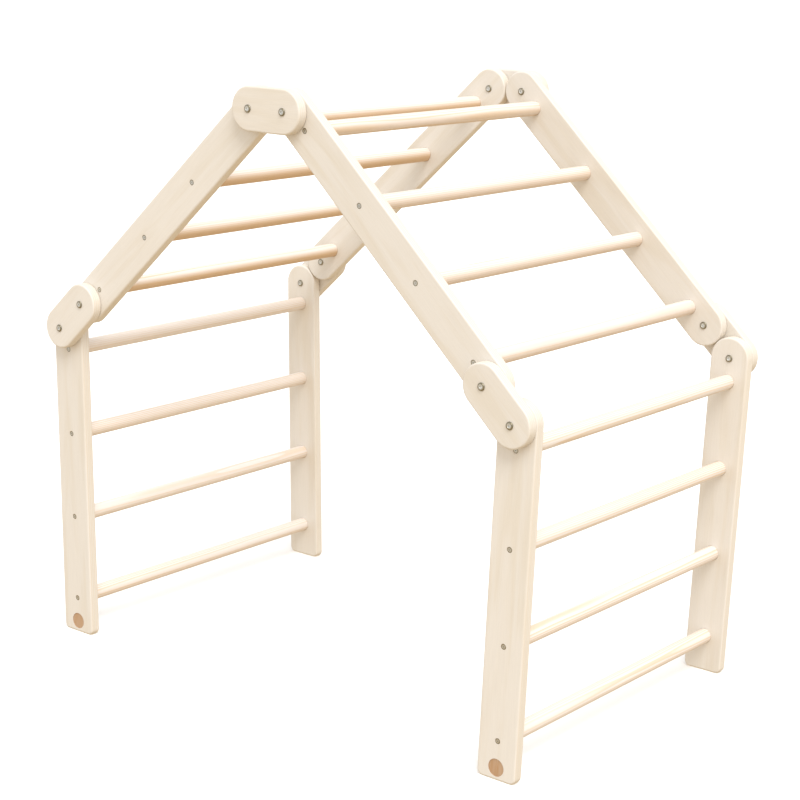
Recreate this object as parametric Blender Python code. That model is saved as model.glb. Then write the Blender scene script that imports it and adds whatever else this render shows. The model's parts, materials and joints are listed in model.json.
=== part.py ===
"""Folding climbing arch: four ladder panels joined in a chain by pairs of pivoting plywood link plates.

Metres, +Z up. +X runs across the arch, +Y along the rungs. The origin is on the floor, under the
middle of the arch. Each panel has two plywood stiles and four round rungs; a bolt and a barrel nut
clamp every pivot, so the friction of wood on wood holds the shape that the arch is set to.
"""

import math

import bmesh
import bpy
from mathutils import Matrix, Vector

# Boards
BOARD_WIDTH = 0.070
BOARD_THICKNESS = 0.018
EDGE_SOFTENING = 0.002
FOOT_CORNER_RADIUS = 0.010
END_ARC_STEPS = 10
FOOT_ARC_STEPS = 3

# Ladder panels
RUNG_DIAMETER = 0.025
RUNG_SPACING = 0.150
RUNGS_PER_PANEL = 4
PIVOT_TO_RUNG = 0.040
LAST_RUNG_TO_FLOOR = 0.0625
INSIDE_WIDTH = 0.580
SOCKET_DEPTH = 0.010
RUNG_SIDES = 16

# Folding geometry at rest
PIVOT_SPACING = 0.071
ROOF_TILT = math.radians(47.3)
LEG_LEAN = math.radians(1.65)

# Pivot hardware
PIVOT_HOLE_RADIUS = 0.0049
SLEEVE_RADIUS = 0.0045
SLEEVE_BORE_RADIUS = 0.0033
SLEEVE_LENGTH = 0.0320
SLEEVE_BORE_DEPTH = 0.0240
SHANK_RADIUS = 0.0030
SHANK_LENGTH = 0.0240
HEAD_RADIUS = 0.0062
HEAD_THICKNESS = 0.0018
HEAD_CHAMFER = 0.0005
HEX_SOCKET_WIDTH = 0.0040
HEX_SOCKET_DEPTH = 0.0026
ROUND_SIDES = 12

GAP = 0.0003
CUT_MARGIN = 0.001

# Worked out from the dimensions above
RUNG_RUN = RUNG_SPACING * (RUNGS_PER_PANEL - 1)
ROOF_LENGTH = RUNG_RUN + 2 * PIVOT_TO_RUNG
LEG_LENGTH = PIVOT_TO_RUNG + RUNG_RUN + LAST_RUNG_TO_FLOOR
APEX_HEIGHT = (ROOF_LENGTH + PIVOT_SPACING) * math.cos(ROOF_TILT) + LEG_LENGTH * math.cos(LEG_LEAN)
STILE_MIDDLE = INSIDE_WIDTH / 2 + BOARD_THICKNESS / 2
PLATE_MIDDLE = STILE_MIDDLE + BOARD_THICKNESS + GAP
NUT_SEAT = INSIDE_WIDTH / 2 - GAP
BOLT_SEAT = PLATE_MIDDLE + BOARD_THICKNESS / 2 + GAP
RUNG_LENGTH = INSIDE_WIDTH + 2 * (SOCKET_DEPTH - GAP)
SOCKET_RADIUS = RUNG_DIAMETER / 2 + 2 * GAP


def clear_scene():
    for old in list(bpy.data.objects):
        bpy.data.objects.remove(old, do_unlink=True)


def finish_material(name, colour, roughness, metallic=0.0):
    """One plain finish: a Principled BSDF with a colour, a roughness and a metallic value."""
    material = bpy.data.materials.new(name)
    material.use_nodes = True
    shader = material.node_tree.nodes["Principled BSDF"]
    shader.inputs["Base Color"].default_value = (*colour, 1.0)
    shader.inputs["Roughness"].default_value = roughness
    shader.inputs["Metallic"].default_value = metallic
    return material


def link_object(name, mesh=None, parent=None):
    """An object in the scene, or an empty where there is no mesh."""
    made = bpy.data.objects.new(name, mesh)
    bpy.context.scene.collection.objects.link(made)
    made.parent = parent
    return made


def mesh_from(bm, name, material):
    mesh = bpy.data.meshes.new(name)
    bmesh.ops.recalc_face_normals(bm, faces=bm.faces[:])
    bm.to_mesh(mesh)
    bm.free()
    mesh.materials.append(material)
    mesh.shade_smooth()
    mesh.set_sharp_from_angle(angle=math.radians(35))
    return mesh


def carved(mesh, cutter_bm):
    """The mesh with the cutter's volume taken out of it."""
    cutter_mesh = bpy.data.meshes.new("cutter")
    cutter_bm.to_mesh(cutter_mesh)
    cutter_bm.free()
    solid = link_object("solid", mesh)
    cutter = link_object("cutter", cutter_mesh)
    cut = solid.modifiers.new("holes", "BOOLEAN")
    cut.operation = "DIFFERENCE"
    cut.solver = "EXACT"
    cut.object = cutter
    view = bpy.context.evaluated_depsgraph_get()
    result = bpy.data.meshes.new_from_object(solid.evaluated_get(view))
    result.name = mesh.name + "_carved"
    for used in (solid, cutter):
        bpy.data.objects.remove(used, do_unlink=True)
    bpy.data.meshes.remove(cutter_mesh)
    return result


def along_y(low, high, x=0.0, z=0.0):
    """Places a cylinder made along Z so that it lies along Y, from low to high."""
    middle = Matrix.Translation((x, (low + high) / 2, z))
    return middle @ Matrix.Rotation(math.radians(90), 4, "X")


def add_cylinder(bm, radius, low, high, sides, x=0.0, z=0.0):
    return bmesh.ops.create_cone(
        bm,
        cap_ends=True,
        segments=sides,
        radius1=radius,
        radius2=radius,
        depth=high - low,
        matrix=along_y(low, high, x, z),
    )


def arc(centre_x, centre_z, radius, start, end, steps):
    """Points on an arc in the XZ plane, from the start angle to the end angle."""
    points = []
    for step in range(steps + 1):
        angle = start + (end - start) * step / steps
        points.append((centre_x + radius * math.cos(angle), centre_z + radius * math.sin(angle)))
    return points


def board_mesh(name, outline, material):
    """A board of the standard thickness with this outline in the XZ plane, its edges softened."""
    bm = bmesh.new()
    half = BOARD_THICKNESS / 2
    face = bm.faces.new([bm.verts.new((x, -half, z)) for x, z in outline])
    extruded = bmesh.ops.extrude_face_region(bm, geom=[face])
    raised = [item for item in extruded["geom"] if isinstance(item, bmesh.types.BMVert)]
    bmesh.ops.translate(bm, verts=raised, vec=(0, BOARD_THICKNESS, 0))
    bm.normal_update()
    rims = [edge for edge in bm.edges if edge.verts[0].co.y == edge.verts[1].co.y]
    bmesh.ops.bevel(
        bm,
        geom=rims,
        offset=EDGE_SOFTENING,
        segments=1,
        profile=0.5,
        affect="EDGES",
        material=-1,
    )
    return mesh_from(bm, name, material)


def top_end():
    """The full round end about the pivot at the top of a board, from its right edge to its left."""
    return arc(0, 0, BOARD_WIDTH / 2, 0, math.pi, END_ARC_STEPS)


def link_outline():
    bottom = arc(0, -PIVOT_SPACING, BOARD_WIDTH / 2, math.pi, 2 * math.pi, END_ARC_STEPS)
    return top_end() + bottom


def roof_stile_outline():
    bottom = arc(0, -ROOF_LENGTH, BOARD_WIDTH / 2, math.pi, 2 * math.pi, END_ARC_STEPS)
    return top_end() + bottom


def leg_stile_outline(lean):
    """A leg's end is cut level with the floor, so it leans across the board by the angle lean."""
    slope = math.tan(lean)
    reach = BOARD_WIDTH / 2 - FOOT_CORNER_RADIUS
    outline = top_end()
    for side in (-1, 1):
        x = side * reach
        z = -LEG_LENGTH + slope * x + FOOT_CORNER_RADIUS / math.cos(lean)
        start = math.pi if side < 0 else 1.5 * math.pi + lean
        end = 1.5 * math.pi + lean if side < 0 else 2 * math.pi
        outline += arc(x, z, FOOT_CORNER_RADIUS, start, end, FOOT_ARC_STEPS)
    return outline


def board_holes(pivots, rungs):
    """Cutter for pivot holes right through a board and rung sockets in its inner (+Y) face."""
    bm = bmesh.new()
    half = BOARD_THICKNESS / 2
    for z in pivots:
        add_cylinder(bm, PIVOT_HOLE_RADIUS, -half - CUT_MARGIN, half + CUT_MARGIN, ROUND_SIDES, z=z)
    for z in rungs:
        add_cylinder(bm, SOCKET_RADIUS, half - SOCKET_DEPTH, half + CUT_MARGIN, RUNG_SIDES, z=z)
    return bm


def rung_heights():
    return [-PIVOT_TO_RUNG - RUNG_SPACING * number for number in range(RUNGS_PER_PANEL)]


def roof_stile_mesh(wood):
    board = board_mesh("roof_stile", roof_stile_outline(), wood)
    return carved(board, board_holes((0, -ROOF_LENGTH), rung_heights()))


def leg_stile_mesh(wood, lean):
    board = board_mesh("leg_stile", leg_stile_outline(lean), wood)
    return carved(board, board_holes((0,), rung_heights()))


def link_plate_mesh(wood):
    board = board_mesh("link_plate", link_outline(), wood)
    return carved(board, board_holes((0, -PIVOT_SPACING), ()))


def rung_mesh(wood):
    bm = bmesh.new()
    add_cylinder(bm, RUNG_DIAMETER / 2, -RUNG_LENGTH / 2, RUNG_LENGTH / 2, RUNG_SIDES)
    return mesh_from(bm, "rung", wood)


def turned_mesh(name, profile, material):
    """A turned piece about the Y axis. The profile is pairs of radius and Y, closed on the axis."""
    bm = bmesh.new()
    verts = [bm.verts.new((radius, y, 0)) for radius, y in profile]
    edges = [bm.edges.new(pair) for pair in zip(verts, verts[1:])]
    bmesh.ops.spin(
        bm,
        geom=verts + edges,
        cent=(0, 0, 0),
        axis=(0, 1, 0),
        angle=2 * math.pi,
        steps=ROUND_SIDES,
        use_merge=True,
    )
    bmesh.ops.remove_doubles(bm, verts=bm.verts[:], dist=0.00001)
    return mesh_from(bm, name, material)


def hex_socket():
    """Cutter for the hexagon socket in a head whose outer face is at y = -HEAD_THICKNESS."""
    bm = bmesh.new()
    low = -HEAD_THICKNESS - CUT_MARGIN
    high = -HEAD_THICKNESS + HEX_SOCKET_DEPTH
    add_cylinder(bm, HEX_SOCKET_WIDTH / 2 / math.cos(math.radians(30)), low, high, 6)
    return bm


def head_profile():
    return [
        (0, -HEAD_THICKNESS),
        (HEAD_RADIUS - HEAD_CHAMFER, -HEAD_THICKNESS),
        (HEAD_RADIUS, -HEAD_THICKNESS + HEAD_CHAMFER),
        (HEAD_RADIUS, 0),
    ]


def bolt_mesh(steel):
    """A flat round head and a shank. The head's seat is at y = 0 and the shank points along +Y."""
    shank = [
        (SHANK_RADIUS, 0),
        (SHANK_RADIUS, SHANK_LENGTH - HEAD_CHAMFER),
        (SHANK_RADIUS - HEAD_CHAMFER, SHANK_LENGTH),
        (0, SHANK_LENGTH),
    ]
    return carved(turned_mesh("pivot_bolt", head_profile() + shank, steel), hex_socket())


def barrel_nut_mesh(steel):
    """The same head with a sleeve, which is the pivot's bearing and takes the bolt in its bore."""
    sleeve = [
        (SLEEVE_RADIUS, 0),
        (SLEEVE_RADIUS, SLEEVE_LENGTH),
        (SLEEVE_BORE_RADIUS, SLEEVE_LENGTH),
        (SLEEVE_BORE_RADIUS, SLEEVE_LENGTH - SLEEVE_BORE_DEPTH),
        (0, SLEEVE_LENGTH - SLEEVE_BORE_DEPTH),
    ]
    return carved(turned_mesh("barrel_nut", head_profile() + sleeve, steel), hex_socket())


def place(name, mesh, parent, y=0.0, z=0.0, outward_is_back=False):
    """A piece in its body's frame. Turned half round Z, its -Y face looks to the back."""
    made = link_object(name, mesh, parent)
    made.location = (0, y, z)
    made.rotation_euler = (0, 0, math.pi if outward_is_back else 0)
    return made


FLANKS = (("front", -1), ("back", 1))


def add_panel(prefix, body, front_stile, back_stile, rung):
    """Two stiles and their rungs, hanging along -Z from the body's pivot."""
    for (flank, y_sign), stile in zip(FLANKS, (front_stile, back_stile)):
        place(f"{prefix}_{flank}_stile", stile, body, y_sign * STILE_MIDDLE, 0, y_sign > 0)
    for number, height in enumerate(rung_heights(), start=1):
        place(f"{prefix}_rung_{number}", rung, body, 0, height)


def add_link(prefix, body, pivots, plate, bolt, nut):
    """A plate on each flank, with a bolt and a barrel nut through each of its two pivots."""
    for flank, y_sign in FLANKS:
        place(f"{prefix}_{flank}_plate", plate, body, y_sign * PLATE_MIDDLE, 0, y_sign > 0)
        for pivot, height in pivots:
            label = f"{prefix}_{flank}_{pivot}"
            place(f"{label}_bolt", bolt, body, y_sign * BOLT_SEAT, height, y_sign > 0)
            place(f"{label}_nut", nut, body, y_sign * NUT_SEAT, height, y_sign < 0)


def add_joint_frame(name, parent, location, bend):
    """An empty on a joint's axis. It is turned about Y by the bend from its parent's direction."""
    frame = link_object(name, None, parent)
    frame.location = Vector(location)
    frame.rotation_euler = (0, bend, 0)
    return frame


def build():
    clear_scene()
    birch_ply = finish_material("birch_plywood", (0.80, 0.68, 0.50), 0.55)
    round_wood = finish_material("rung_wood", (0.76, 0.58, 0.38), 0.55)
    steel = finish_material("zinc_plated_steel", (0.62, 0.62, 0.60), 0.35, 1.0)

    roof_stile = roof_stile_mesh(birch_ply)
    leg_stiles = {sign: leg_stile_mesh(birch_ply, sign * LEG_LEAN) for sign in (-1, 1)}
    plate = link_plate_mesh(birch_ply)
    rung = rung_mesh(round_wood)
    bolt = bolt_mesh(steel)
    nut = barrel_nut_mesh(steel)

    apex = add_joint_frame("apex_link", None, (-PIVOT_SPACING / 2, 0, APEX_HEIGHT), -math.pi / 2)
    add_link("apex", apex, (("left", 0), ("right", -PIVOT_SPACING)), plate, bolt, nut)

    for side, sign in (("left", -1), ("right", 1)):
        pivot = (sign * PIVOT_SPACING / 2, 0, APEX_HEIGHT)
        roof = add_joint_frame(f"{side}_roof_panel", None, pivot, -sign * ROOF_TILT)
        add_panel(f"{side}_roof", roof, roof_stile, roof_stile, rung)

        eave = add_joint_frame(f"{side}_eave_link", roof, (0, 0, -ROOF_LENGTH), 0)
        add_link(f"{side}_eave", eave, (("upper", 0), ("lower", -PIVOT_SPACING)), plate, bolt, nut)

        bend = sign * (ROOF_TILT + LEG_LEAN)
        leg = add_joint_frame(f"{side}_leg_panel", eave, (0, 0, -PIVOT_SPACING), bend)
        add_panel(f"{side}_leg", leg, leg_stiles[sign], leg_stiles[-sign], rung)


build()
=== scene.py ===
"""Folding climbing arch: the finished boards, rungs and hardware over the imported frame.

Metres, +Z up, in the frame's own place. A board is modelled with its top pivot at the origin, its
length along Z and its outer face on -Y, and is then set where its CAD node is. Like pieces are copies
of one shape, and each wooden copy has its own stretch of grain.
"""

import json
import math

import bmesh
import bpy
from bpy.props import FloatProperty, FloatVectorProperty, IntProperty, PointerProperty
from mathutils import Matrix, Vector

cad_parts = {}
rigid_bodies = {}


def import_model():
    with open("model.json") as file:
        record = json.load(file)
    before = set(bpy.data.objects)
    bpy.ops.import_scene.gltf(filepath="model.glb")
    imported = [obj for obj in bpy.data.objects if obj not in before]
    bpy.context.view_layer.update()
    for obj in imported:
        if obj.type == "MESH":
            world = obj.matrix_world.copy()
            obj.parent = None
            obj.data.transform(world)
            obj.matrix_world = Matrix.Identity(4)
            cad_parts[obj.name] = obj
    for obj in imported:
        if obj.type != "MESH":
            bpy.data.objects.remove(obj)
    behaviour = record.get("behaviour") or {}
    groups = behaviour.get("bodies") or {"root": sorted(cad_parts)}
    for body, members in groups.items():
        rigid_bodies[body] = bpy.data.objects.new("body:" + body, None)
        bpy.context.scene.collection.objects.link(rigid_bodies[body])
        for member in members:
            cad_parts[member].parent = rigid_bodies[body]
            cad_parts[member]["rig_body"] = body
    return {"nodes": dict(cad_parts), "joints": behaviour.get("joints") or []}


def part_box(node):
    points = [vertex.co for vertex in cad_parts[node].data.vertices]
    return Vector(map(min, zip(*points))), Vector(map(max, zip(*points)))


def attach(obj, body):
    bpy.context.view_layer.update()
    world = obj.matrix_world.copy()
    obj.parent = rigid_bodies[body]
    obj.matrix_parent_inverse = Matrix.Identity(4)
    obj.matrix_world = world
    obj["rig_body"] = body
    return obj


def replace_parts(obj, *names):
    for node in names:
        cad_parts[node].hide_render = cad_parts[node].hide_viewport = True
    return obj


bl_info = {
    "name": "Folding Climbing Arch",
    "version": (1, 0, 0),
    "blender": (4, 5, 0),
    "location": "3D View > Sidebar > Climbing Arch",
    "description": "Models the plywood boards, round rungs and pivot hardware of a folding climbing arch",
    "category": "Add Mesh",
}

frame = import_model()

SIDES = ("left", "right")
FLANKS = (("front", -1), ("back", 1))
RUNG_NUMBERS = (1, 2, 3, 4)
BACK = Vector((0, 1, 0))
HALF_TURN = Matrix.Rotation(math.pi, 4, "Z")
GOLDEN_ANGLE = math.radians(137.5)
SHARP_ANGLE = math.radians(34)
TINY = 0.00001
PAST = 0.001

HOLE_STEPS = 48
RUNG_STEPS = 48
MARK_STEPS = 72
SCREW_STEPS = 32
FOOT_CORNER_STEPS = 8
HEAD_EDGE_STEPS = 6

# Where each piece's grain starts in its sheet or tree, and where a head's painted dark rim starts: painted
# dark reflection and shade.
BOARD_GRAIN_STEP = Vector((0.37, 0, 1.91))
RUNG_GRAIN_STEP = 0.83
PITH_NEAREST = 0.022
PITH_STEP = 0.006
# Painted shade: each rung's lower right side is painted warmer and darker, more on some panels than on
# others, as the shares below give.
PAINTED_SHADE_SIDE = Vector((0.8, 0, -0.6))
PAINTED_SHADE_START = 0.35
PAINTED_SHADE_SPREAD = 0.55
PAINTED_SHADE_SHARES = {"left_roof": 0.9, "right_roof": 0.35, "left_leg": 0.1, "right_leg": 0.0}
PAINTED_DARK_RIM_START = 0.70


# Reading the frame


def middle(node):
    low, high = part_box(node)
    return (low + high) / 2


def joint_point(name):
    found = next(joint for joint in frame["joints"] if joint["name"] == name)
    return Vector(found["pos_m"])


def radius_about_y(node):
    """The radius of a round CAD node whose axis runs along Y."""
    centre = middle(node)
    points = [vertex.co - centre for vertex in frame["nodes"][node].data.vertices]
    return max(math.hypot(point.x, point.z) for point in points)


def board_width():
    """The apex plates lie level, so their height is the width of every board."""
    low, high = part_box("apex_front_plate")
    return high.z - low.z


def board_thickness():
    low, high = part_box("apex_front_plate")
    return high.y - low.y


def pivot_spacing():
    """Between the two pivots of a link plate."""
    return (joint_point("left_apex_pivot") - joint_point("right_apex_pivot")).length


def hung_from(top, low):
    """A board's own axes: the origin at its top pivot, +Z up the board and +Y to the back."""
    up = (top - low).normalized()
    axes = Matrix((BACK.cross(up), BACK, up)).transposed().to_4x4()
    axes.translation = top
    return axes


def panel_axes(panel):
    """panel is left_roof, right_roof, left_leg or right_leg."""
    side, part = panel.split("_")
    pivot = "apex" if part == "roof" else "eave_lower"
    top = joint_point(f"{side}_{pivot}_pivot")
    run = middle(f"{panel}_rung_1") - middle(f"{panel}_rung_4")
    return hung_from(top, top - run)


def rung_drops(panel):
    """How far below the panel's top pivot each rung sits."""
    top = panel_axes(panel).translation
    return [(top - middle(f"{panel}_rung_{number}")).length for number in RUNG_NUMBERS]


def link_axes(link):
    """link is apex, left_eave or right_eave."""
    if link == "apex":
        return hung_from(joint_point("left_apex_pivot"), joint_point("right_apex_pivot"))
    return hung_from(joint_point(f"{link}_upper_pivot"), joint_point(f"{link}_lower_pivot"))


# Settings


def from_screen(red, green, blue):
    """A colour as it looks on a screen, 0 to 255, as the linear values that a shader takes."""
    return tuple((part / 255) ** 2.2 for part in (red, green, blue))


def length(name, description, default):
    return FloatProperty(name=name, description=description, default=default, unit="LENGTH", precision=4)


def angle(name, description, default):
    return FloatProperty(name=name, description=description, default=default, subtype="ANGLE")


def colour(name, description, default):
    return FloatVectorProperty(
        name=name, description=description, default=default, subtype="COLOR", size=3, min=0, max=1
    )


class BoardSettings(bpy.types.PropertyGroup):
    """Sizes of the plywood boards and of what is cut in them."""

    edge_radius: length("Edge Radius", "Rounding of every edge between a face and a rim", 0.0030)
    edge_steps: IntProperty(name="Edge Steps", description="Facets across the rounding", default=5)
    end_steps: IntProperty(name="End Steps", description="Facets round a full round end's circle", default=96)
    foot_corner_radius: length("Foot Corner Radius", "Rounding of a foot's two corners", 0.0100)
    pivot_hole_radius: length("Pivot Hole Radius", "Holes for the barrel nuts' sleeves", 0.0049)
    socket_depth: length("Socket Depth", "Depth of the blind holes that hold the rungs", 0.0100)
    socket_clearance: length("Socket Clearance", "Air between a rung and its socket's wall", 0.0003)
    mark_radius: length("Mark Radius", "The plain round recess near each foot", 0.0140)
    mark_depth: length("Mark Depth", "Depth of that recess", 0.0010)
    mark_height: length("Mark Height", "The recess's middle above the floor", 0.0195)
    rung_chamfer: length("Rung Chamfer", "At both ends of a rung", 0.0010)


class HardwareSettings(bpy.types.PropertyGroup):
    """Sizes of the screws, pivot bolts and barrel nuts."""

    screw_head_radius: length("Screw Head Radius", "Countersunk wood screw's head", 0.0045)
    screw_head_depth: length("Screw Head Depth", "From its face to the shank", 0.0028)
    screw_shank_radius: length("Screw Shank Radius", "Wood screw's shank", 0.0020)
    screw_length: length("Screw Length", "Over all", 0.0400)
    screw_pitch: length("Screw Pitch", "Between two ridges of its thread", 0.0018)
    screw_sink: length("Screw Sink", "How far its head is below the board's face", 0.0002)
    screw_clearance: length("Screw Clearance", "Air round a screw", 0.0003)
    bolt_head_radius: length("Bolt Head Radius", "Heads of bolts and nuts", 0.0062)
    bolt_head_thickness: length("Bolt Head Thickness", "Heads of bolts and nuts", 0.0018)
    hexagon_width: length("Hexagon Width", "Across the flats of the socket in a head", 0.0040)
    hexagon_depth: length("Hexagon Depth", "Depth of that socket", 0.0020)
    shank_radius: length("Shank Radius", "Bolt's thread, outside", 0.0030)
    shank_length: length("Shank Length", "Under the bolt's head", 0.0240)
    thread_pitch: length("Thread Pitch", "Between two ridges of the bolt's thread", 0.0010)
    sleeve_radius: length("Sleeve Radius", "Barrel nut's sleeve, outside", 0.0045)
    sleeve_length: length("Sleeve Length", "Under the nut's head", 0.0320)
    bore_radius: length("Bore Radius", "Barrel nut's bore", 0.0033)
    bore_depth: length("Bore Depth", "Barrel nut's bore", 0.0240)
    round_steps: IntProperty(name="Round Steps", description="Facets round a turned piece", default=40)


class FinishSettings(bpy.types.PropertyGroup):
    """Colours of the wood and the metal."""

    veneer: colour("Veneer", "Face veneer of the boards", from_screen(224, 217, 207))
    veneer_figure: colour("Veneer Figure", "Darker figure in the veneer", from_screen(217, 207, 191))
    cross_ply: colour("Cross Ply", "Plies whose grain runs across", from_screen(222, 211, 195))
    glue_line: colour("Glue Line", "Between two plies", from_screen(196, 174, 144))
    toasted: colour("Toasted", "Floor of the round recess", from_screen(178, 138, 100))
    early_wood: colour("Early Wood", "Pale part of a rung's growth rings", from_screen(231, 221, 212))
    late_wood: colour("Late Wood", "Warm part of a rung's growth rings", from_screen(221, 197, 168))
    # Painted shade: the warm colour painted on the lower side of the rungs.
    painted_shade_tint: colour("Painted Shade Tint", "Painted warm shade on the lower side of some rungs", from_screen(207, 173, 134))
    zinc: colour("Zinc", "Plated steel", from_screen(226, 226, 222))
    # Painted dark reflection and shade round the edge of a head.
    painted_dark_rim: colour("Painted Dark Rim", "Plated steel round the edge of a head", from_screen(146, 138, 118))
    ply_count: IntProperty(name="Plies", description="Plies in a board", default=9, min=3)


class StageSettings(bpy.types.PropertyGroup):
    """Camera, floor and light."""

    azimuth: angle("Azimuth", "The camera's way round the arch, from the front", math.radians(38.909))
    elevation: angle("Elevation", "The camera's height over the point aimed at", math.radians(13.345))
    roll: angle("Roll", "The camera's tilt about its own line of sight", math.radians(1.335))
    distance: length("Distance", "Camera to the point that it aims at", 3.2925)
    aim: FloatVectorProperty(
        name="Aim", description="Point aimed at", default=(0.0127, 0, 0.4785), subtype="XYZ", unit="LENGTH"
    )
    lens: FloatProperty(name="Lens", description="Focal length", default=87.31, unit="CAMERA")
    shift: FloatProperty(name="Shift", description="Camera's upward shift", default=-0.01875)
    floor_size: length("Floor Size", "Side of the square floor", 400.0)
    floor: colour("Floor", "Plain pale floor", from_screen(252, 252, 251))
    sky: colour("Sky", "Light from above", (1.0, 1.0, 1.0))
    ground: colour("Ground", "Warm light thrown back from below", (0.80, 0.62, 0.38))
    sun_strength: FloatProperty(name="Sun", description="Strength of the key light", default=2.2)
    sun_softness: angle("Softness", "How wide the key light looks from the arch", 0.6)
    sun_from: FloatVectorProperty(
        name="Sun From", description="Towards the key light", default=(0.47, -0.33, 0.82), subtype="DIRECTION"
    )
    world_strength: FloatProperty(name="World", description="Strength of the even light", default=1.04)


class ArchSettings(bpy.types.PropertyGroup):
    """Everything that the sidebar shows."""

    board: PointerProperty(type=BoardSettings)
    hardware: PointerProperty(type=HardwareSettings)
    finish: PointerProperty(type=FinishSettings)
    stage: PointerProperty(type=StageSettings)


# Node building


class Nodes:
    """Adds nodes to a material or world and links them, with short calls."""

    def __init__(self, tree):
        self.tree = tree
        tree.nodes.clear()

    def add(self, kind, **values):
        """A node of this kind. A value that is a node's socket is linked, and any other is set."""
        node = self.tree.nodes.new("ShaderNode" + kind)
        for name, value in values.items():
            if hasattr(node, name) and name not in node.inputs:
                setattr(node, name, value)
            else:
                self.feed(node, name, value)
        return node

    def feed(self, node, name, value):
        socket = node.inputs[name]
        if isinstance(value, bpy.types.NodeSocket):
            self.tree.links.new(value, socket)
        else:
            socket.default_value = value

    def math(self, operation, first, second=0.0):
        node = self.tree.nodes.new("ShaderNodeMath")
        node.operation = operation
        for number, value in enumerate((first, second)):
            self.feed(node, number, value)
        return node.outputs[0]

    def span(self, value, low, high, to_low=0.0, to_high=1.0):
        """Maps low..high to to_low..to_high, held at both ends."""
        node = self.tree.nodes.new("ShaderNodeMapRange")
        node.interpolation_type = "SMOOTHSTEP"
        ends = {"From Min": low, "From Max": high, "To Min": to_low, "To Max": to_high}
        for name, number in ends.items():
            node.inputs[name].default_value = number
        self.feed(node, "Value", value)
        return node.outputs["Result"]

    def blend(self, share, first, second, kind="RGBA"):
        """Mixes two colours, or two vectors where kind is VECTOR."""
        node = self.tree.nodes.new("ShaderNodeMix")
        node.data_type = kind
        first_socket, result = {"VECTOR": (4, 1), "RGBA": (6, 2)}[kind]
        self.feed(node, 0, share)
        self.feed(node, first_socket, first)
        self.feed(node, first_socket + 1, second)
        return node.outputs[result]

    def noise(self, place, stretch, scale, detail=2.0, roughness=0.5, distortion=0.0):
        """Noise on a place that is stretched along each axis by these factors."""
        stretched = self.tree.nodes.new("ShaderNodeVectorMath")
        stretched.operation = "MULTIPLY"
        self.feed(stretched, 0, place)
        stretched.inputs[1].default_value = stretch
        node = self.tree.nodes.new("ShaderNodeTexNoise")
        self.tree.links.new(stretched.outputs[0], node.inputs["Vector"])
        look = {"Scale": scale, "Detail": detail, "Roughness": roughness, "Distortion": distortion}
        for name, number in look.items():
            node.inputs[name].default_value = number
        return node.outputs["Fac"]

    def stored(self, name, output="Fac"):
        """What a mesh attribute of this name holds."""
        return self.add("Attribute", attribute_name=name).outputs[output]

    def shaded(self, tint, share):
        """A colour made lighter or darker."""
        return self.add("VectorMath", operation="SCALE", Vector=tint, Scale=share).outputs[0]


def opaque(values):
    return (*values, 1.0)


def new_material(name):
    material = bpy.data.materials.new(name)
    material.use_nodes = True
    return material, Nodes(material.node_tree)


def finish_surface(nodes, **values):
    """The Principled BSDF with these inputs, and the material's output."""
    shader = nodes.tree.nodes.new("ShaderNodeBsdfPrincipled")
    for name, value in values.items():
        nodes.feed(shader, name.replace("_", " "), value)
    output = nodes.tree.nodes.new("ShaderNodeOutputMaterial")
    nodes.tree.links.new(shader.outputs[0], output.inputs["Surface"])
    return shader


def raised(nodes, height, distance):
    """Bump of this height pattern, whose full depth is the distance."""
    node = nodes.tree.nodes.new("ShaderNodeBump")
    node.inputs["Strength"].default_value = 1.0
    node.inputs["Distance"].default_value = distance
    nodes.feed(node, "Height", height)
    return node.outputs["Normal"]


# Materials


def from_half(nodes, value):
    """How far a value from 0 to 1 is from its middle."""
    return nodes.math("ABSOLUTE", nodes.math("SUBTRACT", value, 0.5))


def glue_lines(nodes, depth, layer):
    """How much glue shows: some where two plies meet, none within a ply or at the board's faces."""
    between = nodes.span(from_half(nodes, nodes.math("FRACT", layer)), 0.455, 0.49, 0.0, 0.45)
    inside = nodes.span(from_half(nodes, depth), 0.485, 0.47)
    return nodes.math("MULTIPLY", between, inside)


def veneer_colour(nodes, finish, place, is_cross):
    """Pale birch with a darker figure. Plies that run across are a little darker."""
    figure = nodes.noise(place, (1.0, 1.0, 0.10), 42.0, detail=3.0, distortion=0.6)
    on_face = nodes.span(figure, 0.40, 0.70, 0.0, 0.7)
    on_core = nodes.span(figure, 0.30, 0.70, 0.0, 0.5)
    face = nodes.blend(on_face, opaque(finish.veneer), opaque(finish.veneer_figure))
    core = nodes.blend(on_core, opaque(finish.cross_ply), opaque(finish.veneer_figure))
    return nodes.blend(is_cross, face, core)


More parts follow.
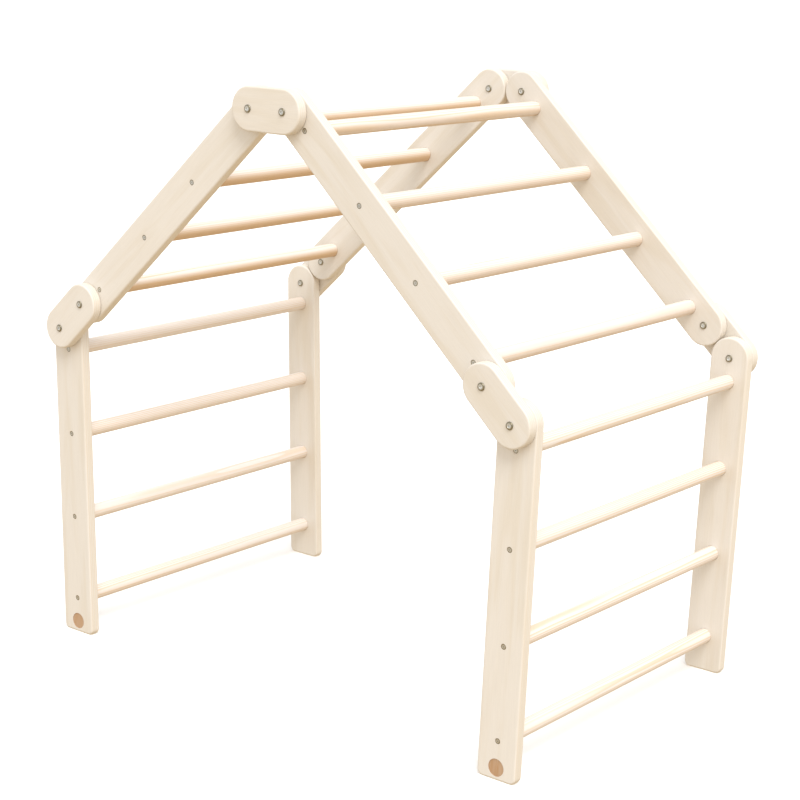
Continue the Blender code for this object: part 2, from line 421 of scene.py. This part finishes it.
def plywood(finish):
    """Birch plywood as a solid: plies by depth, with the grain of every second one running across."""
    material, nodes = new_material("finished_birch_plywood")
    grain = nodes.stored("grain", "Vector")
    parts = nodes.add("SeparateXYZ", Vector=grain).outputs
    depth = nodes.math("ADD", nodes.math("DIVIDE", parts["Y"], board_thickness()), 0.5)
    layer = nodes.math("MULTIPLY", depth, float(finish.ply_count))
    number = nodes.math("FLOOR", nodes.math("MINIMUM", layer, finish.ply_count - PAST))
    is_cross = nodes.math("MODULO", number, 2.0)
    crosswise = nodes.add("CombineXYZ", X=parts["Z"], Y=parts["Y"], Z=parts["X"]).outputs[0]
    place = nodes.blend(is_cross, grain, crosswise, "VECTOR")

    fibre = nodes.noise(place, (1.0, 1.0, 0.025), 900.0, detail=2.0)
    pore = nodes.span(nodes.noise(place, (1.0, 1.0, 0.06), 1500.0), 0.66, 0.74)
    tone = nodes.noise(grain, (1.0, 0.0, 1.0), 1.3, detail=1.0)
    fine = nodes.span(fibre, 0.3, 0.7, -0.020, 0.020)
    broad = nodes.span(tone, 0.3, 0.7, 0.98, 1.01)
    shade = nodes.math("SUBTRACT", nodes.math("ADD", fine, broad), nodes.math("MULTIPLY", pore, 0.07))

    wood = veneer_colour(nodes, finish, place, is_cross)
    wood = nodes.blend(glue_lines(nodes, depth, layer), wood, opaque(finish.glue_line))
    streak = nodes.span(fibre, 0.3, 0.7, 0.0, 0.3)
    singed = nodes.blend(streak, opaque(finish.toasted), opaque(finish.veneer_figure))
    wood = nodes.blend(nodes.stored("toast"), nodes.shaded(wood, shade), singed)

    rough = nodes.span(fibre, 0.3, 0.7, 0.50, 0.60)
    relief = raised(nodes, nodes.math("SUBTRACT", fibre, pore), 0.00004)
    finish_surface(nodes, Base_Color=wood, Roughness=rough, Normal=relief)
    return material


def late_growth(nodes, grain):
    """1 in the late wood of each growth ring. The rings wander a little along the rod."""
    rings_per_metre = 330.0
    wander_in_rings = 2.6
    parts = nodes.add("SeparateXYZ", Vector=grain).outputs
    squares = [nodes.math("POWER", parts[axis], 2.0) for axis in ("X", "Z")]
    from_pith = nodes.math("POWER", nodes.math("ADD", *squares), 0.5)
    wander = nodes.noise(grain, (1.0, 0.12, 1.0), 18.0, detail=2.0)
    rings = nodes.math("MULTIPLY", from_pith, rings_per_metre)
    phase = nodes.math("FRACT", nodes.math("ADD", rings, nodes.math("MULTIPLY", wander, wander_in_rings)))
    return nodes.math("MULTIPLY", nodes.span(phase, 0.35, 0.85), nodes.span(phase, 1.0, 0.93))


def rung_wood(finish):
    """Round rod: the growth rings of one tree cut along, so the rod shows long warm streaks."""
    material, nodes = new_material("finished_rung_wood")
    grain = nodes.stored("grain", "Vector")
    fibre = nodes.noise(grain, (1.0, 0.02, 1.0), 700.0, detail=2.0)
    tone = nodes.noise(grain, (1.0, 0.10, 1.0), 9.0, detail=1.0)
    late = nodes.math("MULTIPLY", late_growth(nodes, grain), nodes.span(tone, 0.3, 0.7, 0.35, 1.0))
    wood = nodes.blend(late, opaque(finish.early_wood), opaque(finish.late_wood))
    # Painted warm shade on the rung's lower right side.
    wood = nodes.blend(nodes.stored("painted_shade"), wood, opaque(finish.painted_shade_tint))
    wood = nodes.shaded(wood, nodes.span(fibre, 0.3, 0.7, 0.975, 1.015))
    rough = nodes.span(fibre, 0.3, 0.7, 0.46, 0.56)
    finish_surface(nodes, Base_Color=wood, Roughness=rough, Normal=raised(nodes, fibre, 0.00003))
    return material


def plated_steel(finish):
    """Bright zinc plating: nearly smooth, with a faint blotch, a fine grit and a painted dark rim, which is
    painted dark reflection and shade round a head's edge.
    """
    material, nodes = new_material("finished_zinc_plated_steel")
    place = nodes.add("TexCoord").outputs["Object"]
    blotch = nodes.noise(place, (1.0, 1.0, 1.0), 420.0, detail=3.0)
    grit = nodes.noise(place, (1.0, 1.0, 1.0), 2600.0, detail=2.0)
    # Painted dark reflection and shade round a head's edge.
    metal = nodes.blend(nodes.stored("painted_dark_rim"), opaque(finish.zinc), opaque(finish.painted_dark_rim))
    metal = nodes.shaded(metal, nodes.span(blotch, 0.3, 0.7, 0.86, 1.04))
    rough = nodes.span(blotch, 0.3, 0.7, 0.30, 0.42)
    relief = raised(nodes, grit, 0.00001)
    finish_surface(nodes, Base_Color=metal, Metallic=1.0, Roughness=rough, Normal=relief)
    return material


MATERIAL_MAKERS = {"birch_plywood": plywood, "rung_wood": rung_wood, "zinc_plated_steel": plated_steel}


def material_for(slot):
    """The material of a slot of the record, made when it is first asked for."""
    found = bpy.data.materials.get(f"finished_{slot}")
    return found or MATERIAL_MAKERS[slot](bpy.context.scene.climbing_arch.finish)


# Shaping


def everything(bm):
    return bm.verts[:] + bm.edges[:] + bm.faces[:]


def new_verts(result):
    return [item for item in result["geom"] if isinstance(item, bmesh.types.BMVert)]


def spin_profile(bm, profile, steps, z=0.0):
    """Turns pairs of radius and Y about an axis along Y into a closed surface."""
    verts = [bm.verts.new((radius, y, z)) for radius, y in profile]
    edges = [bm.edges.new(pair) for pair in zip(verts, verts[1:])]
    bmesh.ops.spin(
        bm,
        geom=verts + edges,
        cent=(0, 0, z),
        axis=(0, 1, 0),
        angle=2 * math.pi,
        steps=steps,
        use_merge=True,
    )
    bmesh.ops.remove_doubles(bm, verts=bm.verts[:], dist=TINY)
    bmesh.ops.recalc_face_normals(bm, faces=bm.faces[:])


def turned(profile, steps):
    bm = bmesh.new()
    spin_profile(bm, profile, steps)
    return bm


def add_rod(bm, radius, low, high, steps, z=0.0):
    """A closed cylinder along Y."""
    place = Matrix.Translation((0, (low + high) / 2, z)) @ Matrix.Rotation(math.radians(90), 4, "X")
    bmesh.ops.create_cone(
        bm,
        cap_ends=True,
        segments=steps,
        radius1=radius,
        radius2=radius,
        depth=high - low,
        matrix=place,
    )


def as_mesh(bm):
    mesh = bpy.data.meshes.new("shape")
    bm.to_mesh(mesh)
    bm.free()
    return mesh


def carved(bm, cutter):
    """A mesh of the solid without the cutter's volume. Both are used up."""
    solid, knife = (bpy.data.objects.new("carving", as_mesh(part)) for part in (bm, cutter))
    for used in (solid, knife):
        bpy.context.scene.collection.objects.link(used)
    cut = solid.modifiers.new("cut", "BOOLEAN")
    cut.operation = "DIFFERENCE"
    cut.solver = "EXACT"
    cut.object = knife
    seen = solid.evaluated_get(bpy.context.evaluated_depsgraph_get())
    result = bpy.data.meshes.new_from_object(seen)
    for used in (solid, knife):
        bpy.data.meshes.remove(used.data)
    return result


def half_disc(bm, radius, steps):
    """The round top end of a board, as one flat face in the XZ plane."""
    upright = Matrix.Rotation(math.radians(90), 4, "X")
    bmesh.ops.create_circle(bm, cap_ends=True, segments=steps, radius=radius, matrix=upright)
    bmesh.ops.bisect_plane(
        bm, geom=everything(bm), dist=TINY, plane_co=(0, 0, 0), plane_no=(0, 0, 1), clear_inner=True
    )


def pull_down(bm, drop):
    """Draws the flat edge at the pivot's level down the board."""
    flat = [edge for edge in bm.edges if all(abs(vert.co.z) < TINY for vert in edge.verts)]
    drawn = bmesh.ops.extrude_edge_only(bm, edges=flat)
    bmesh.ops.translate(bm, verts=new_verts(drawn), vec=(0, 0, -drop))


def round_ended(spacing, board):
    """Flat shape of a board with a full round end about each of two pivots."""
    bm = bmesh.new()
    half_disc(bm, board_width() / 2, board.end_steps)
    pull_down(bm, spacing / 2)
    bmesh.ops.translate(bm, verts=bm.verts[:], vec=(0, 0, spacing / 2))
    bmesh.ops.mirror(bm, geom=everything(bm), merge_dist=TINY, axis="Z")
    bmesh.ops.recalc_face_normals(bm, faces=bm.faces[:])
    bmesh.ops.dissolve_faces(bm, faces=bm.faces[:])
    bmesh.ops.translate(bm, verts=bm.verts[:], vec=(0, 0, -spacing / 2))
    return bm


def floor_in(axes):
    """A point of the floor and its upward direction, in a board's own axes."""
    own = axes.inverted()
    point = own @ Vector((axes.translation.x, axes.translation.y, 0))
    return point, own.to_3x3() @ Vector((0, 0, 1))


def footed(axes, board):
    """Flat shape of a leg: a round top end, and a foot cut level with the floor, its corners rounded."""
    floor_point, floor_up = floor_in(axes)
    bm = bmesh.new()
    half_disc(bm, board_width() / 2, board.end_steps)
    pull_down(bm, -floor_point.z + board_width())
    bmesh.ops.dissolve_faces(bm, faces=bm.faces[:])
    bmesh.ops.bisect_plane(
        bm, geom=everything(bm), dist=TINY, plane_co=floor_point, plane_no=floor_up, clear_inner=True
    )
    corners = sorted(bm.verts, key=lambda vert: vert.co.z)[:2]
    bmesh.ops.bevel(
        bm,
        geom=corners,
        offset=board.foot_corner_radius,
        segments=FOOT_CORNER_STEPS,
        profile=0.5,
        affect="VERTICES",
        material=-1,
    )
    return bm


def thickened(bm, board):
    """Gives a flat shape the boards' thickness and rounds both rims. A narrow flat strip beside each
    rounding keeps the shading of the faces and of the rim flat."""
    strip = 0.0004
    margin = board.edge_radius + strip
    thickness = board_thickness()
    bmesh.ops.translate(bm, verts=bm.verts[:], vec=(0, -thickness / 2, 0))
    region = bm.faces[:]
    for step in (margin, thickness - 2 * margin, margin):
        drawn = bmesh.ops.extrude_face_region(bm, geom=region)
        region = [item for item in drawn["geom"] if isinstance(item, bmesh.types.BMFace)]
        bmesh.ops.translate(bm, verts=new_verts(drawn), vec=(0, step, 0))
    bmesh.ops.recalc_face_normals(bm, faces=bm.faces[:])
    rim_y = thickness / 2 - TINY
    rims = [edge for edge in bm.edges if all(abs(vert.co.y) > rim_y for vert in edge.verts)]
    bmesh.ops.bevel(
        bm,
        geom=rims,
        offset=board.edge_radius,
        segments=board.edge_steps,
        profile=0.5,
        affect="EDGES",
        material=-1,
    )
    bm.normal_update()
    caps = [face for face in bm.faces if abs(face.normal.y) > 0.9999]
    bmesh.ops.inset_region(bm, faces=caps, thickness=strip, use_even_offset=True)
    bmesh.ops.recalc_face_normals(bm, faces=bm.faces[:])
    return bm


def pivot_cutter(pivots, board):
    """Holes right through a board at these heights."""
    bm = bmesh.new()
    reach = board_thickness() / 2 + PAST
    for z in pivots:
        add_rod(bm, board.pivot_hole_radius, -reach, reach, HOLE_STEPS, z)
    return bm


def add_rung_seats(bm, drops, settings):
    """For each rung, its blind socket in the inner face and the countersunk hole of its screw."""
    board = settings.board
    screw = settings.hardware
    half = board_thickness() / 2
    socket = radius_about_y("left_leg_rung_1") + board.socket_clearance
    floor = half - board.socket_depth
    wide = screw.screw_head_radius + screw.screw_clearance
    narrow = screw.screw_shank_radius + screw.screw_clearance
    throat = -half + screw.screw_sink + screw.screw_head_depth
    profile = [(0, -half - PAST), (wide, -half - PAST), (wide, -half + screw.screw_sink)]
    profile += [(narrow, throat), (narrow, floor), (socket, floor), (socket, half + PAST), (0, half + PAST)]
    for drop in drops:
        spin_profile(bm, profile, HOLE_STEPS, -drop)


def mark_middle(axes, board):
    """Height of the round recess's middle in a leg's own axes."""
    return floor_in(axes)[0].z + board.mark_height


def ridges(radius, depth, low, high, pitch):
    """Profile points of a screw thread's ridges from low to high."""
    points = []
    for number in range(int((high - low) / pitch)):
        start = low + number * pitch
        points += [(radius - depth, start), (radius, start + pitch / 2)]
    return points + [(radius - depth, high)]


def arc(centre_radius, centre_y, radius, start, end, steps):
    """Profile points on an arc, its angles in degrees from the radius direction towards +Y."""
    points = []
    for step in range(steps + 1):
        turn = math.radians(start + (end - start) * step / steps)
        points.append((centre_radius + radius * math.cos(turn), centre_y + radius * math.sin(turn)))
    return points


# Turned pieces


def rung_shape(span, radius, settings):
    """A rod with chamfered ends, each bored for its screw."""
    board = settings.board
    bore = settings.hardware.screw_shank_radius + settings.hardware.screw_clearance
    depth = settings.hardware.screw_length
    end = span / 2
    half = [(0, end - depth), (bore, end - depth), (bore, end), (radius - board.rung_chamfer, end)]
    half.append((radius, end - board.rung_chamfer))
    other = [(across, -y) for across, y in reversed(half)]
    return turned(half + other, RUNG_STEPS)


def screw_shape(hardware):
    """A countersunk wood screw: its face at y = 0 and its tip towards +Y."""
    head = hardware.screw_head_radius
    shank = hardware.screw_shank_radius
    edge = 0.0002
    smooth_shank = 0.006
    point = 0.003
    ridge = 0.0005
    neck = hardware.screw_head_depth
    thread_start = neck + smooth_shank
    thread_end = hardware.screw_length - point
    profile = [(0, 0), (head - edge, 0), (head, edge), (head, 2 * edge), (shank * 0.8, neck)]
    profile += ridges(shank, ridge, thread_start, thread_end, hardware.screw_pitch)
    profile.append((0, hardware.screw_length))
    return turned(profile, SCREW_STEPS)


def cross_recess():
    """Cutter for a cross recess in a face at y = 0: a square core with four wings, narrower inside."""
    wing = 0.0012
    core = 0.0011
    depth = 0.0016
    taper = 0.45
    bm = bmesh.new()
    bmesh.ops.create_cube(bm, size=1.0, matrix=Matrix.Diagonal((core, 2 * depth, core, 1)))
    sides = [face for face in bm.faces if abs(face.normal.y) < 0.5]
    wings = bmesh.ops.extrude_discrete_faces(bm, faces=sides)["faces"]
    for face in wings:
        bmesh.ops.translate(bm, verts=face.verts[:], vec=face.normal * wing)
    deep = [vert for vert in bm.verts if vert.co.y > 0]
    bmesh.ops.scale(bm, verts=deep, vec=(taper, 1, taper))
    return bm


def hexagon_corner(hardware):
    """From a hexagon's middle to its corner."""
    return hardware.hexagon_width / 2 / math.cos(math.radians(30))


def head_profile(hardware):
    """A low button head, its seat at y = 0, with a shallow round dish where its hexagon is cut."""
    radius = hardware.bolt_head_radius
    top = -hardware.bolt_head_thickness
    dish_margin = 0.0003
    dish = hexagon_corner(hardware) + dish_margin
    shoulder = 0.0014
    lip = 0.0002
    points = [(0, top + lip), (dish - lip, top + lip), (dish, top)]
    points += arc(radius - shoulder, top + shoulder, shoulder, -90, 0, HEAD_EDGE_STEPS)
    points += [(radius, -lip), (radius - lip, 0)]
    return points


def hexagon_cutter(hardware):
    bm = bmesh.new()
    top = -hardware.bolt_head_thickness
    add_rod(bm, hexagon_corner(hardware), top - PAST, top + hardware.hexagon_depth, 6)
    return bm


def bolt_shape(hardware):
    """A button head with a hexagon, and a threaded shank that points along +Y."""
    shank = hardware.shank_radius
    tip = 0.0005
    ridge = 0.0003
    profile = head_profile(hardware) + [(shank - tip, 0)]
    profile += ridges(shank, ridge, tip, hardware.shank_length - tip, hardware.thread_pitch)
    profile += [(shank - 2 * tip, hardware.shank_length), (0, hardware.shank_length)]
    return turned(profile, hardware.round_steps)


def nut_shape(hardware):
    """The same head on a bored sleeve, which is the pivot's bearing."""
    end = hardware.sleeve_length
    outside = hardware.sleeve_radius
    bore = hardware.bore_radius
    deep = end - hardware.bore_depth
    ease = 0.0004
    profile = head_profile(hardware) + [(outside, 0), (outside, end - ease), (outside - ease, end)]
    profile += [(bore + ease, end), (bore, end - ease), (bore, deep), (0, deep)]
    return turned(profile, hardware.round_steps)


# Setting pieces in place


def set_grain(mesh, place):
    """Stores where each point was in the wood that the piece was cut from."""
    attribute = mesh.attributes.new("grain", "FLOAT_VECTOR", "POINT")
    for point, vertex in zip(attribute.data, mesh.vertices):
        point.vector = place @ vertex.co


def board_grain(number):
    """Each board comes from another place in the sheet."""
    return Matrix.Translation(BOARD_GRAIN_STEP * number)


def rung_grain(number):
    """Each rung comes from another stretch of the tree, at its own distance from the pith at x = 0."""
    pith = PITH_NEAREST + PITH_STEP * (number * 5 % 7)
    shift = Matrix.Translation((pith, RUNG_GRAIN_STEP * number, 0))
    return shift @ Matrix.Rotation(GOLDEN_ANGLE * number, 4, "Y")


def set_painted_shade(mesh, share, radius):
    """Paints warm shade on a rung's lower right side, the side that faces down and to the right in the arch,
    as strong as this share.
    """
    attribute = mesh.attributes.new("painted_shade", "FLOAT", "POINT")
    for value, vertex in zip(attribute.data, mesh.vertices):
        toward = vertex.co.dot(PAINTED_SHADE_SIDE) / radius
        value.value = share * min(max((toward - PAINTED_SHADE_START) / PAINTED_SHADE_SPREAD, 0), 1)


def set_toast(mesh, height, board):
    """Marks the faces of the round recess, which are toasted brown."""
    outer = -board_thickness() / 2
    attribute = mesh.attributes.new("toast", "FLOAT", "FACE")
    for value, face in zip(attribute.data, mesh.polygons):
        off_middle = math.hypot(face.center.x, face.center.z - height)
        sunk = TINY < face.center.y - outer < board.mark_depth + TINY
        value.value = float(sunk and off_middle < board.mark_radius + TINY)


def set_painted_dark_rim(mesh, radius):
    """Marks a head's sloping edge, where dark reflection and shade are painted into its colour."""
    attribute = mesh.attributes.new("painted_dark_rim", "FLOAT", "POINT")
    for value, vertex in zip(attribute.data, mesh.vertices):
        share = math.hypot(vertex.co.x, vertex.co.z) / radius
        value.value = float(share > PAINTED_DARK_RIM_START)


def set_piece(name, mesh, place, body, slot):
    """Makes a finished piece: its place goes into its mesh, and it takes its slot's material."""
    mesh.name = name
    mesh.transform(place)
    mesh.materials.clear()
    mesh.materials.append(material_for(slot))
    mesh.shade_smooth()
    mesh.set_sharp_from_angle(angle=SHARP_ANGLE)
    piece = bpy.data.objects.new(name, mesh)
    bpy.context.scene.collection.objects.link(piece)
    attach(piece, body)
    return piece


def stand_in(node, mesh, place, slot):
    """A finished piece that is shown instead of its CAD node."""
    body = frame["nodes"][node]["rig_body"]
    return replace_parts(set_piece(f"{node}_finished", mesh, place, body, slot), node)


def on_flank(axes, node, sign):
    """A board's own axes, moved out to its node. On the back flank it is turned half round."""
    moved = axes @ Matrix.Translation((0, middle(node).y, 0))
    return moved @ HALF_TURN if sign > 0 else moved


def add_board(node, shape, axes, sign, number, toast_height=None):
    """A finished board. Its number gives its grain, and a leg's toast_height is its recess's middle."""
    mesh = shape.copy()
    set_grain(mesh, board_grain(number))
    if toast_height is not None:
        set_toast(mesh, toast_height, bpy.context.scene.climbing_arch.board)
    stand_in(node, mesh, on_flank(axes, node, sign), "birch_plywood")


def head_place(node, hardware, number):
    """Where a bolt or a nut goes: its head's seat, facing away from what its shank goes into."""
    low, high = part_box(node)
    centre = (low + high) / 2
    is_bolt = node.endswith("bolt")
    looks_back = (centre.y > 0) == is_bolt
    seat = high.y - hardware.bolt_head_thickness if looks_back else low.y + hardware.bolt_head_thickness
    spun = Matrix.Rotation(GOLDEN_ANGLE * number, 4, "Y")
    place = Matrix.Translation((centre.x, seat, centre.z))
    return place @ HALF_TURN @ spun if looks_back else place @ spun


def add_heads(kind, shape, settings):
    """A finished bolt or nut for each CAD node of that kind."""
    nodes = sorted(name for name in frame["nodes"] if name.endswith(f"_{kind}"))
    for number, node in enumerate(nodes):
        place = head_place(node, settings.hardware, number)
        stand_in(node, shape.copy(), place, "zinc_plated_steel")


# Operators


class CLIMBING_ARCH_OT_roof_stiles(bpy.types.Operator):
    """Model the four roof stiles, round at both ends"""

    bl_idname = "climbing_arch.roof_stiles"
    bl_label = "Roof Stiles"

    def execute(self, context):
        settings = context.scene.climbing_arch
        span = (joint_point("left_apex_pivot") - joint_point("left_eave_upper_pivot")).length
        cutter = pivot_cutter((0, -span), settings.board)
        add_rung_seats(cutter, rung_drops("left_roof"), settings)
        shape = carved(thickened(round_ended(span, settings.board), settings.board), cutter)
        for number, side in enumerate(SIDES):
            for flank, sign in FLANKS:
                node = f"{side}_roof_{flank}_stile"
                add_board(node, shape, panel_axes(f"{side}_roof"), sign, 2 * number + (sign > 0))
        return {"FINISHED"}


class CLIMBING_ARCH_OT_leg_stiles(bpy.types.Operator):
    """Model the four leg stiles, each with a foot cut level with the floor and a plain round recess"""

    bl_idname = "climbing_arch.leg_stiles"
    bl_label = "Leg Stiles"

    def execute(self, context):
        settings = context.scene.climbing_arch
        board = settings.board
        outer = -board_thickness() / 2
        for number, side in enumerate(SIDES):
            for flank, sign in FLANKS:
                node = f"{side}_leg_{flank}_stile"
                axes = panel_axes(f"{side}_leg")
                place = on_flank(axes, node, sign)
                height = mark_middle(place, board)
                cutter = pivot_cutter((0,), board)
                add_rung_seats(cutter, rung_drops(f"{side}_leg"), settings)
                deep = outer + board.mark_depth
                add_rod(cutter, board.mark_radius, outer - PAST, deep, MARK_STEPS, height)
                shape = carved(thickened(footed(place, board), board), cutter)
                add_board(node, shape, axes, sign, 10 + 2 * number + (sign > 0), height)
        return {"FINISHED"}


class CLIMBING_ARCH_OT_link_plates(bpy.types.Operator):
    """Model the six link plates that join the panels at the apex and the eaves"""

    bl_idname = "climbing_arch.link_plates"
    bl_label = "Link Plates"

    def execute(self, context):
        board = context.scene.climbing_arch.board
        spacing = pivot_spacing()
        shape = carved(thickened(round_ended(spacing, board), board), pivot_cutter((0, -spacing), board))
        for number, link in enumerate(("apex", "left_eave", "right_eave")):
            for flank, sign in FLANKS:
                add_board(f"{link}_{flank}_plate", shape, link_axes(link), sign, 20 + 2 * number + (sign > 0))
        return {"FINISHED"}


class CLIMBING_ARCH_OT_rungs(bpy.types.Operator):
    """Model the sixteen round rungs"""

    bl_idname = "climbing_arch.rungs"
    bl_label = "Rungs"

    def execute(self, context):
        settings = context.scene.climbing_arch
        nodes = sorted(name for name in frame["nodes"] if "_rung_" in name)
        low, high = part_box(nodes[0])
        radius = radius_about_y(nodes[0])
        shape = as_mesh(rung_shape(high.y - low.y, radius, settings))
        for number, node in enumerate(nodes, start=1):
            mesh = shape.copy()
            panel = node.split("_rung_")[0]
            set_grain(mesh, rung_grain(number))
            # Painted shade on the rung's lower side, as strong as its panel's share.
            set_painted_shade(mesh, PAINTED_SHADE_SHARES[panel], radius)
            stand_in(node, mesh, Matrix.Translation(middle(node)), "rung_wood")
        return {"FINISHED"}


class CLIMBING_ARCH_OT_rung_screws(bpy.types.Operator):
    """Model the countersunk screws, one through a stile into each end of each rung"""

    bl_idname = "climbing_arch.rung_screws"
    bl_label = "Rung Screws"

    def execute(self, context):
        hardware = context.scene.climbing_arch.hardware
        shape = carved(screw_shape(hardware), cross_recess())
        set_painted_dark_rim(shape, hardware.screw_head_radius)
        for panel in (f"{side}_{part}" for side in SIDES for part in ("roof", "leg")):
            for number in RUNG_NUMBERS:
                for flank, sign in FLANKS:
                    self.add_screw(shape, panel, number, flank, sign, hardware)
        return {"FINISHED"}

    def add_screw(self, shape, panel, number, flank, sign, hardware):
        """One screw, its cross left at its own angle as a driver would leave it."""
        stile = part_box(f"{panel}_{flank}_stile")
        face = stile[1].y if sign > 0 else stile[0].y
        rung = middle(f"{panel}_rung_{number}")
        place = Matrix.Translation((rung.x, face - sign * hardware.screw_sink, rung.z))
        if sign > 0:
            place = place @ HALF_TURN
        stop = GOLDEN_ANGLE * (number + 4 * sign + len(panel))
        place = place @ Matrix.Rotation(stop, 4, "Y")
        name = f"{panel}_{flank}_screw_{number}"
        set_piece(name, shape.copy(), place, f"{panel}_panel", "zinc_plated_steel")


class CLIMBING_ARCH_OT_pivot_bolts(bpy.types.Operator):
    """Model the twelve pivot bolts on the outer faces of the link plates"""

    bl_idname = "climbing_arch.pivot_bolts"
    bl_label = "Pivot Bolts"

    def execute(self, context):
        settings = context.scene.climbing_arch
        shape = carved(bolt_shape(settings.hardware), hexagon_cutter(settings.hardware))
        set_painted_dark_rim(shape, settings.hardware.bolt_head_radius)
        add_heads("bolt", shape, settings)
        return {"FINISHED"}


class CLIMBING_ARCH_OT_barrel_nuts(bpy.types.Operator):
    """Model the twelve barrel nuts on the inner faces of the stiles"""

    bl_idname = "climbing_arch.barrel_nuts"
    bl_label = "Barrel Nuts"

    def execute(self, context):
        settings = context.scene.climbing_arch
        shape = carved(nut_shape(settings.hardware), hexagon_cutter(settings.hardware))
        set_painted_dark_rim(shape, settings.hardware.bolt_head_radius)
        add_heads("nut", shape, settings)
        return {"FINISHED"}


class CLIMBING_ARCH_OT_stage(bpy.types.Operator):
    """Set the camera, the pale floor and the soft light"""

    bl_idname = "climbing_arch.stage"
    bl_label = "Stage"

    def execute(self, context):
        stage = context.scene.climbing_arch.stage
        add_camera(context.scene, stage)
        add_floor(context.scene, stage)
        add_light(context.scene, stage)
        set_world(context.scene, stage)
        context.scene.view_settings.view_transform = "Standard"
        return {"FINISHED"}


# Stage


def add_camera(scene, stage):
    flat = math.cos(stage.elevation)
    back = Vector((
        math.sin(stage.azimuth) * flat,
        -math.cos(stage.azimuth) * flat,
        math.sin(stage.elevation),
    ))
    lens = bpy.data.cameras.new("camera")
    lens.sensor_width = 36
    lens.clip_end = stage.floor_size
    lens.lens = stage.lens
    lens.shift_y = stage.shift
    camera = bpy.data.objects.new("camera", lens)
    scene.collection.objects.link(camera)
    level = (-back).to_track_quat("-Z", "Y").to_matrix().to_4x4()
    rolled = level @ Matrix.Rotation(stage.roll, 4, "Z")
    camera.matrix_world = Matrix.Translation(Vector(stage.aim) + back * stage.distance) @ rolled
    scene.camera = camera


def add_floor(scene, stage):
    """A large pale floor. The light that it throws up at the arch comes from the world's lower half."""
    bm = bmesh.new()
    bmesh.ops.create_grid(bm, x_segments=1, y_segments=1, size=stage.floor_size / 2)
    mesh = as_mesh(bm)
    material, nodes = new_material("pale_floor")
    place = nodes.add("TexCoord").outputs["Object"]
    cloud = nodes.span(nodes.noise(place, (1.0, 1.0, 1.0), 3.0), 0.3, 0.7, 0.995, 1.0)
    finish_surface(nodes, Base_Color=nodes.shaded(stage.floor, cloud), Roughness=0.9)
    mesh.materials.append(material)
    floor = bpy.data.objects.new("floor", mesh)
    floor.visible_diffuse = False
    floor.visible_glossy = False
    scene.collection.objects.link(floor)


def add_light(scene, stage):
    light = bpy.data.lights.new("key_light", "SUN")
    light.energy = stage.sun_strength
    light.angle = stage.sun_softness
    key = bpy.data.objects.new("key_light", light)
    key.rotation_mode = "QUATERNION"
    key.rotation_quaternion = (-Vector(stage.sun_from)).to_track_quat("-Z", "Y")
    scene.collection.objects.link(key)


def set_world(scene, stage):
    """Even white light from above and a warmer, weaker one from below, as over a wooden deck."""
    world = bpy.data.worlds.new("soft_studio")
    world.use_nodes = True
    nodes = Nodes(world.node_tree)
    upward = nodes.add("SeparateXYZ", Vector=nodes.add("TexCoord").outputs["Generated"]).outputs["Z"]
    share = nodes.span(upward, -0.40, -0.04)
    light = nodes.blend(share, opaque(stage.ground), opaque(stage.sky))
    background = nodes.add("Background", Color=light, Strength=stage.world_strength)
    output = nodes.tree.nodes.new("ShaderNodeOutputWorld")
    nodes.tree.links.new(background.outputs[0], output.inputs["Surface"])
    scene.world = world


# Add-on


class CLIMBING_ARCH_PT_sidebar(bpy.types.Panel):
    """The arch's sizes, colours and pieces"""

    bl_idname = "CLIMBING_ARCH_PT_sidebar"
    bl_label = "Climbing Arch"
    bl_space_type = "VIEW_3D"
    bl_region_type = "UI"
    bl_category = "Climbing Arch"

    def draw(self, context):
        settings = context.scene.climbing_arch
        for group in (settings.board, settings.hardware, settings.finish, settings.stage):
            box = self.layout.box()
            for name in group.bl_rna.properties.keys():
                if name not in ("rna_type", "name"):
                    box.prop(group, name)
        for operator in OPERATORS:
            self.layout.operator(operator.bl_idname)


SETTINGS = (BoardSettings, HardwareSettings, FinishSettings, StageSettings, ArchSettings)
OPERATORS = (
    CLIMBING_ARCH_OT_roof_stiles,
    CLIMBING_ARCH_OT_leg_stiles,
    CLIMBING_ARCH_OT_link_plates,
    CLIMBING_ARCH_OT_rungs,
    CLIMBING_ARCH_OT_rung_screws,
    CLIMBING_ARCH_OT_pivot_bolts,
    CLIMBING_ARCH_OT_barrel_nuts,
    CLIMBING_ARCH_OT_stage,
)
CLASSES = (*SETTINGS, *OPERATORS, CLIMBING_ARCH_PT_sidebar)


def register():
    for made in CLASSES:
        bpy.utils.register_class(made)
    bpy.types.Scene.climbing_arch = PointerProperty(type=ArchSettings)


def unregister():
    del bpy.types.Scene.climbing_arch
    for made in reversed(CLASSES):
        bpy.utils.unregister_class(made)


def main():
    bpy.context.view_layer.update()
    register()
    bpy.ops.climbing_arch.roof_stiles()
    bpy.ops.climbing_arch.leg_stiles()
    bpy.ops.climbing_arch.link_plates()
    bpy.ops.climbing_arch.rungs()
    bpy.ops.climbing_arch.rung_screws()
    bpy.ops.climbing_arch.pivot_bolts()
    bpy.ops.climbing_arch.barrel_nuts()
    bpy.ops.climbing_arch.stage()


if __name__ == "__main__":
    main()
